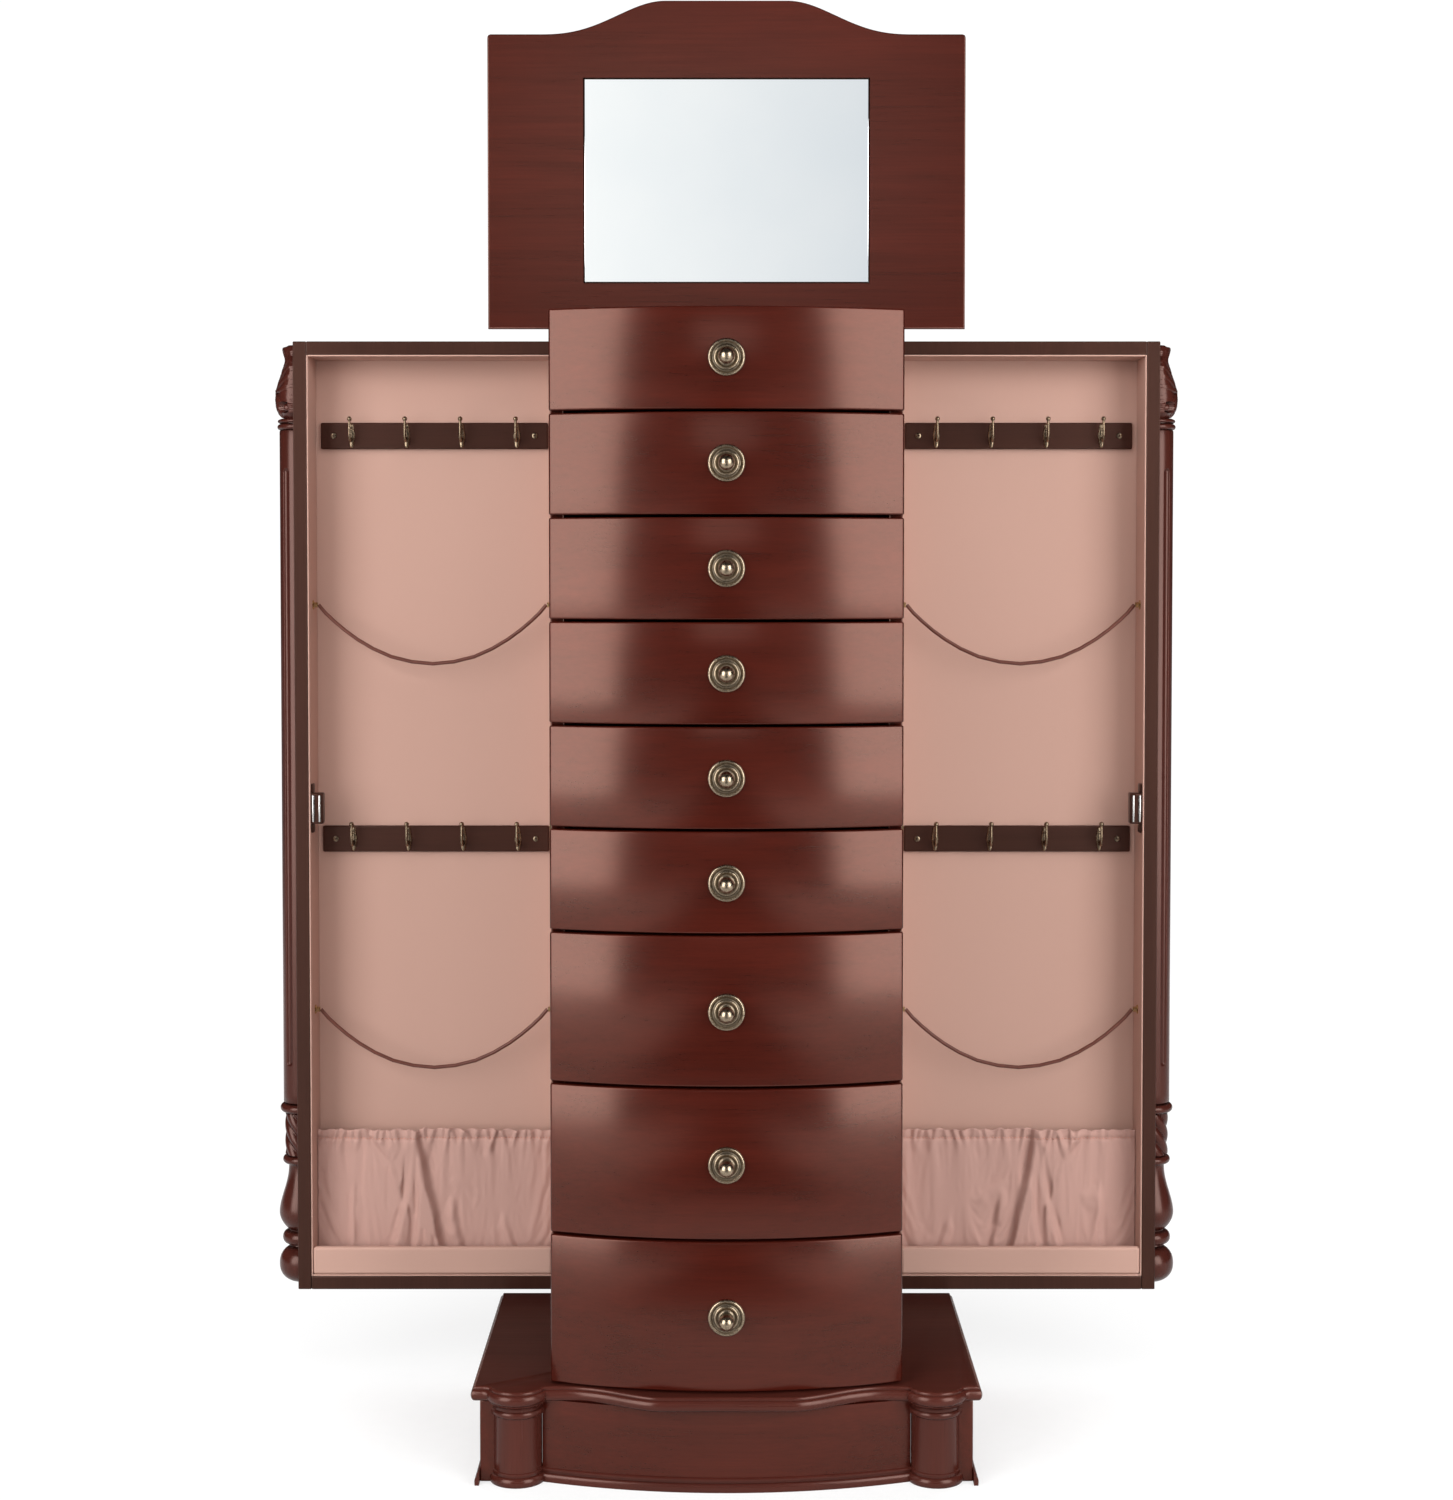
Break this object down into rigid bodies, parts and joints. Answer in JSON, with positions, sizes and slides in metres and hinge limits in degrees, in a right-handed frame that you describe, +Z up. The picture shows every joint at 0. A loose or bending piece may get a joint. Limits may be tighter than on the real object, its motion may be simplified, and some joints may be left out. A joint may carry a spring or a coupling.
{
  "type": "jewelry armoire",
  "caption": "Floor-standing bow-front jewelry armoire: drawer stack on a moulded plinth, lined side doors with hooks, cords and pouches, and a mirrored lift-up lid over a tray.",
  "frame": {"origin": "on the floor under the middle of the cabinet", "axes": "+Z up, -Y the way the drawers face and open, +X to the viewer's right; drawn with both doors and the lid open"},
  "size_m": [0.8878, 0.3748, 1.3403],
  "materials": {
    "cherry": "cherry-stained veneer under satin lacquer",
    "moulding": "darker cherry-stained turnings and mouldings under satin lacquer",
    "dark_wood": "espresso brown lacquered wood",
    "velvet": "dusty rose flocked lining",
    "satin": "dusty rose satin weave",
    "cord": "round brown leather cord",
    "knob": "antique brass with darkened recesses",
    "hook": "antique bronze",
    "fitting": "satin brass",
    "mirror": "silvered glass"
  },
  "bodies": {
    "cabinet": {"base_top_board": "moulding", "base_front_panel": "cherry", "base_frame": "cherry", "base_pilasters": "moulding", "base_foot_moulding": "moulding", "carcass_sides": "cherry", "carcass_back": "dark_wood", "drawer_runners": "dark_wood", "top_front": "cherry", "top_front_knob": "knob", "top_tray": "velvet", "ring_rolls": "velvet", "carcass_fittings": "fitting"},
    "lid": {"lid_board": "cherry", "lid_mirror": "mirror", "lid_hinge_leaves": "fitting"},
    "door_left": {"door_left_frame": "dark_wood", "door_left_panel": "cherry", "door_left_lining": "velvet", "door_left_column": "moulding", "door_left_hook_rails": "dark_wood", "door_left_hooks": "hook", "door_left_upper_cord": "cord", "door_left_lower_cord": "cord", "door_left_pouch": "satin", "door_left_fittings": "fitting"},
    "door_right": {"door_right_frame": "dark_wood", "door_right_panel": "cherry", "door_right_lining": "velvet", "door_right_column": "moulding", "door_right_hook_rails": "dark_wood", "door_right_hooks": "hook", "door_right_upper_cord": "cord", "door_right_lower_cord": "cord", "door_right_pouch": "satin", "door_right_fittings": "fitting"},
    "drawer_1": {"drawer_1_front": "cherry", "drawer_1_box": "velvet", "drawer_1_knob": "knob"},
    "drawer_2": {"drawer_2_front": "cherry", "drawer_2_box": "velvet", "drawer_2_knob": "knob"},
    "drawer_3": {"drawer_3_front": "cherry", "drawer_3_box": "velvet", "drawer_3_knob": "knob"},
    "drawer_4": {"drawer_4_front": "cherry", "drawer_4_box": "velvet", "drawer_4_knob": "knob"},
    "drawer_5": {"drawer_5_front": "cherry", "drawer_5_box": "velvet", "drawer_5_knob": "knob"},
    "drawer_6": {"drawer_6_front": "cherry", "drawer_6_box": "velvet", "drawer_6_knob": "knob"},
    "drawer_7": {"drawer_7_front": "cherry", "drawer_7_box": "velvet", "drawer_7_knob": "knob"},
    "drawer_8": {"drawer_8_front": "cherry", "drawer_8_box": "velvet", "drawer_8_knob": "knob"}
  },
  "joints": [
    {"name": "lid_hinge", "type": "hinge", "parent": "cabinet", "child": "lid", "pos_m": [0, 0.122, 1.01825], "axis": [-1, 0, 0], "range_deg": [-90, 0]},
    {"name": "door_left_hinge", "type": "hinge", "parent": "cabinet", "child": "door_left", "pos_m": [-0.15375, 0.1355, 0], "axis": [0, 0, -1], "range_deg": [-90, 5]},
    {"name": "door_right_hinge", "type": "hinge", "parent": "cabinet", "child": "door_right", "pos_m": [0.15375, 0.1355, 0], "axis": [0, 0, 1], "range_deg": [-90, 5]},
    {"name": "drawer_1_slide", "type": "slide", "parent": "cabinet", "child": "drawer_1", "axis": [0, -1, 0], "range_m": [0, 0.19]},
    {"name": "drawer_2_slide", "type": "slide", "parent": "cabinet", "child": "drawer_2", "axis": [0, -1, 0], "range_m": [0, 0.19]},
    {"name": "drawer_3_slide", "type": "slide", "parent": "cabinet", "child": "drawer_3", "axis": [0, -1, 0], "range_m": [0, 0.19]},
    {"name": "drawer_4_slide", "type": "slide", "parent": "cabinet", "child": "drawer_4", "axis": [0, -1, 0], "range_m": [0, 0.19]},
    {"name": "drawer_5_slide", "type": "slide", "parent": "cabinet", "child": "drawer_5", "axis": [0, -1, 0], "range_m": [0, 0.19]},
    {"name": "drawer_6_slide", "type": "slide", "parent": "cabinet", "child": "drawer_6", "axis": [0, -1, 0], "range_m": [0, 0.19]},
    {"name": "drawer_7_slide", "type": "slide", "parent": "cabinet", "child": "drawer_7", "axis": [0, -1, 0], "range_m": [0, 0.19]},
    {"name": "drawer_8_slide", "type": "slide", "parent": "cabinet", "child": "drawer_8", "axis": [0, -1, 0], "range_m": [0, 0.19]}
  ]
}
